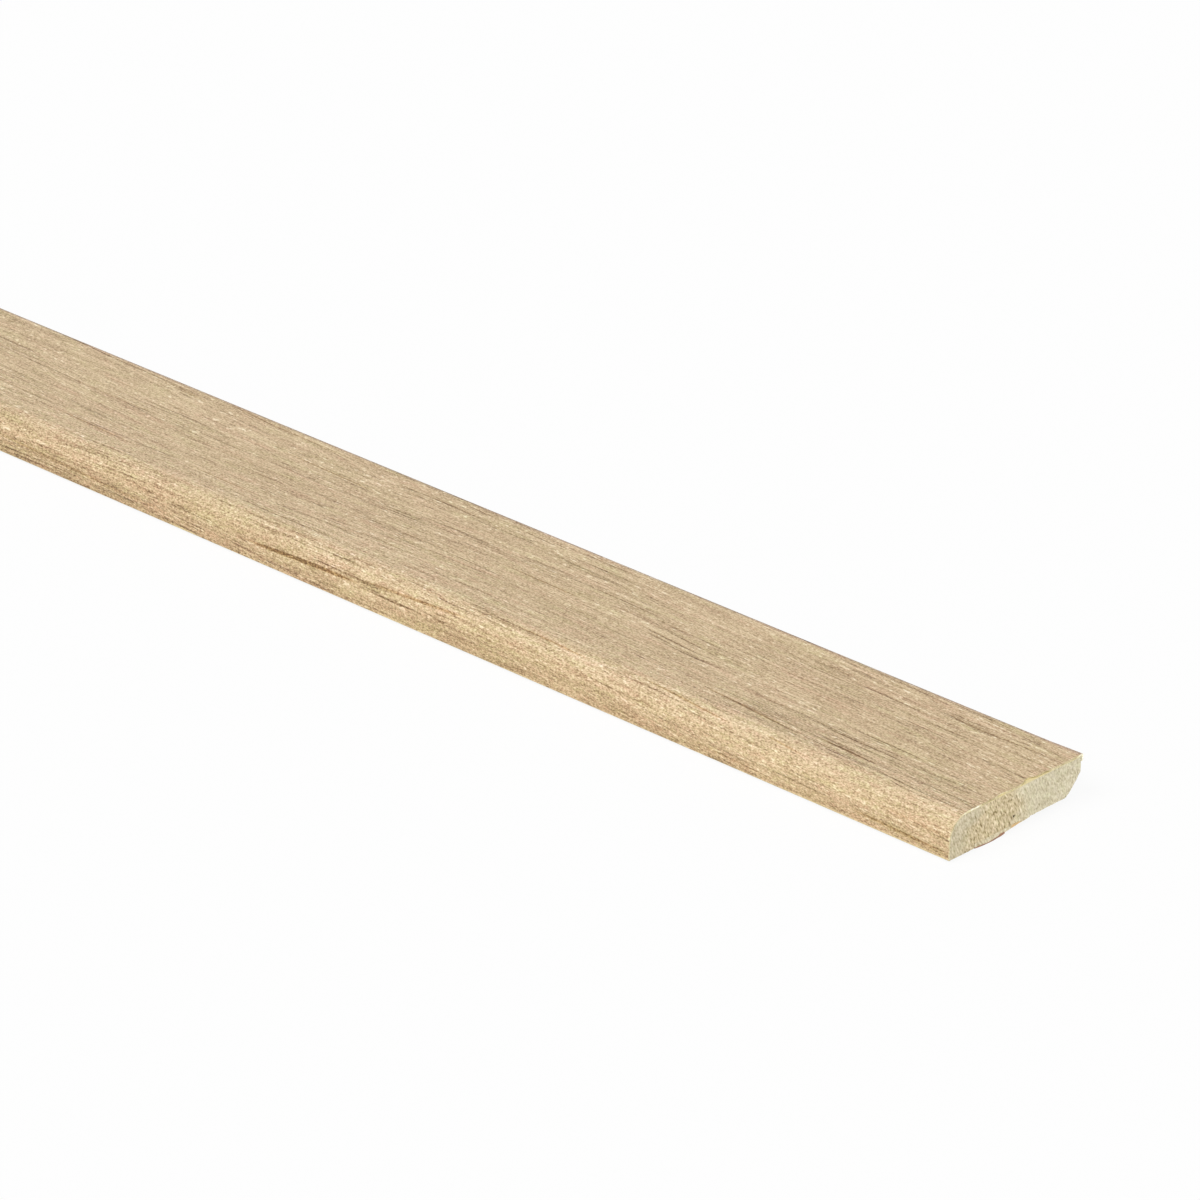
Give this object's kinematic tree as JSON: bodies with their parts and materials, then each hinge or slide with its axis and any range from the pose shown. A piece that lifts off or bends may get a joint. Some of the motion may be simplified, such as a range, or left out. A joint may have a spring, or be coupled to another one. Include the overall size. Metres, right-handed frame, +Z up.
{
  "type": "self-adhesive skirting strip",
  "caption": "Long flat foil-wrapped MDF trim strip with a rounded upper edge, a relieved back edge and self-adhesive tape under a peel-off liner, for covering the gap below a skirting or wall.",
  "frame": {"origin": "on the surface that the strip lies on, under the middle of its length and width", "axes": "+X along the strip, +Y across it from the rounded edge to the square edge, +Z up out of the wood-print face"},
  "size_m": [2.4, 0.022, 0.0052],
  "materials": {
    "mdf": "matte",
    "oak_foil": "satin",
    "tape": "matte",
    "liner_paper": "satin"
  },
  "bodies": {
    "root": {"mdf_core": "mdf", "decor_foil": "oak_foil", "adhesive_tape": "tape", "release_liner": "liner_paper"}
  },
  "joints": []
}
